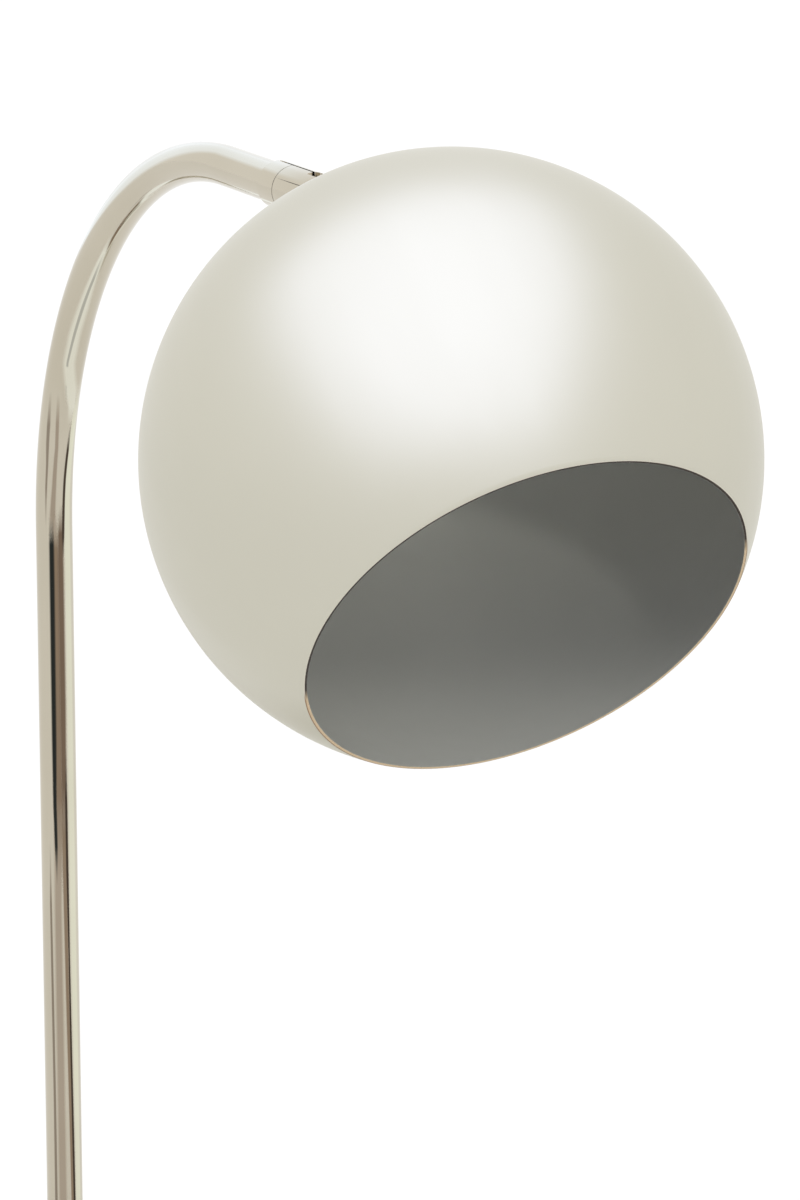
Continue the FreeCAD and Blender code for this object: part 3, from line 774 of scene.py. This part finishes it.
def soft_glow(name, color):
    """A card's plain light, thinned out where the mesh's opacity falls."""
    material = bpy.data.materials.new(name)
    material.use_nodes = True
    nodes = material.node_tree.nodes
    links = material.node_tree.links
    nodes.clear()
    emission = nodes.new("ShaderNodeEmission")
    emission.inputs["Color"].default_value = (*color, 1)
    clear = nodes.new("ShaderNodeBsdfTransparent")
    opacity = nodes.new("ShaderNodeAttribute")
    opacity.attribute_name = "opacity"
    mix = nodes.new("ShaderNodeMixShader")
    links.new(opacity.outputs["Fac"], mix.inputs[0])
    links.new(clear.outputs[0], mix.inputs[1])
    links.new(emission.outputs[0], mix.inputs[2])
    output = nodes.new("ShaderNodeOutputMaterial")
    links.new(mix.outputs[0], output.inputs["Surface"])
    return material


def mirrored_turn(share, radius):
    """The angle round the tube, from the camera, of what is mirrored at a share of its width."""
    return 2 * math.asin(share) - math.asin(share * TUBE_RADIUS / radius)


def mirrored_in_pole(height, share, radius):
    """The point at a radius round the pole that is mirrored at a share of its half width."""
    angle = POLE_TO_CAMERA + mirrored_turn(share, radius)
    return radius * math.sin(angle), -radius * math.cos(angle), height


def mirrored_in_arc(distance, share, radius):
    """The same for the bend and the neck, at a distance along the tube from the bend's start."""
    centre, angle = tube_centre(distance)
    along = Vector((math.sin(angle), 0, math.cos(angle)))
    view = (CAMERA_PLACE - centre).normalized()
    lean = view.dot(along)
    across = view - along * lean
    slope = lean / across.length
    across.normalize()
    turn = mirrored_turn(share, radius)
    facing = math.asin(share)
    run = radius * math.cos(2 * facing - turn) - TUBE_RADIUS * math.cos(facing)
    outward = across * math.cos(turn) + along.cross(across) * math.sin(turn)
    return centre + outward * radius - along * slope * run


def ribbon(name, color, radius, stations, corner_at):
    """A narrow card curved round the tube, with faded edges, that only reflections show."""
    corners = []
    opacities = []
    last = len(stations) - 1
    for index, (place, left, right) in enumerate(stations):
        for step in range(RIBBON_STEPS + 1):
            part = step / RIBBON_STEPS
            share = left + (right - left) * part
            corners.append(corner_at(place, share, radius))
            inside = min(1.0, min(part, 1 - part) / RIBBON_FADE)
            opacities.append(0.0 if index in (0, last) else inside)
    faces = []
    row = RIBBON_STEPS + 1
    for station in range(last):
        for step in range(RIBBON_STEPS):
            first = station * row + step
            faces.append((first, first + 1, first + row + 1, first + row))
    card = stage_piece(name, corners, faces, soft_glow(name, color))
    card.data.attributes.new("opacity", "FLOAT", "POINT").data.foreach_set("value", opacities)
    card.visible_camera = False
    card.visible_diffuse = False
    card.visible_shadow = False
    card.visible_transmission = False


def area_light(name, place, rotation, size, power, color):
    """A soft rectangular light that the camera doesn't see."""
    data = bpy.data.lights.new(name, "AREA")
    data.shape = "RECTANGLE"
    data.size, data.size_y = size
    data.energy = power
    data.color = color
    piece = bpy.data.objects.new(name, data)
    piece.location = place
    piece.rotation_euler = rotation
    piece.visible_camera = False
    bpy.context.scene.collection.objects.link(piece)
    return piece


def softbox():
    """The large softbox over the shade."""
    toward = Vector((math.sin(CAMERA_AZIMUTH), -math.cos(CAMERA_AZIMUTH), 0))
    right = Vector((math.cos(CAMERA_AZIMUTH), math.sin(CAMERA_AZIMUTH), 0))
    place = SHADE_CENTRE + toward * SOFTBOX_TOWARD_CAMERA - right * SOFTBOX_TO_THE_LEFT
    place.z += SOFTBOX_ABOVE
    rotation = (SOFTBOX_TILT, 0, CAMERA_AZIMUTH + SOFTBOX_TURN)
    return area_light("softbox", place, rotation, SOFTBOX_SIZE, SOFTBOX_POWER, SOFTBOX_COLOR)


def fill_light(name, azimuth, elevation, size, power):
    """A light from a direction, which shines into the shade's mouth."""
    level = math.cos(math.radians(elevation))
    direction = Vector((
        level * math.cos(math.radians(azimuth)),
        level * math.sin(math.radians(azimuth)),
        math.sin(math.radians(elevation)),
    ))
    rotation = (-direction).to_track_quat("-Z", "Y").to_euler()
    place = SHADE_CENTRE + direction * FILL_DISTANCE
    return area_light(name, place, rotation, size, power, FILL_COLOR)


def lamp_pieces():
    """Every mesh that belongs to the lamp, CAD nodes and own pieces alike."""
    meshes = [piece for piece in bpy.context.scene.objects if piece.type == "MESH"]
    return [piece for piece in meshes if not piece.get("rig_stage")]


def lit_only(name, lights, pieces):
    """Shutters some lights so that they fall on the given pieces only."""
    group = bpy.data.collections.new(name)
    for piece in pieces:
        group.objects.link(piece)
    for light in lights:
        light.light_linking.receiver_collection = group


def surroundings():
    """Plain white all round."""
    world = bpy.data.worlds.new("studio")
    bpy.context.scene.world = world
    world.use_nodes = True
    background = world.node_tree.nodes["Background"]
    background.inputs["Color"].default_value = (1, 1, 1, 1)
    background.inputs["Strength"].default_value = WORLD_STRENGTH
    bpy.context.scene.view_settings.view_transform = "Standard"


def studio(lining):
    """White surroundings, the softbox, two fills for the shade's lining and the tube's cards."""
    surroundings()
    lit_only("lit_lamp", [softbox()], lamp_pieces())
    lit_only("lit_lining", [fill_light(name, *FILLS[name]) for name in FILLS], [lining])
    for cards, corner_at in ((POLE_CARDS, mirrored_in_pole), (ARC_CARDS, mirrored_in_arc)):
        for index, (name, color, stations) in enumerate(cards):
            radius = RIBBON_RADIUS + index * RIBBON_SPACING
            ribbon("card_" + name, color, radius, stations, corner_at)


camera()
floor()
carried_over()
shade()
lining = shade_lining()
arm()
studio(lining)
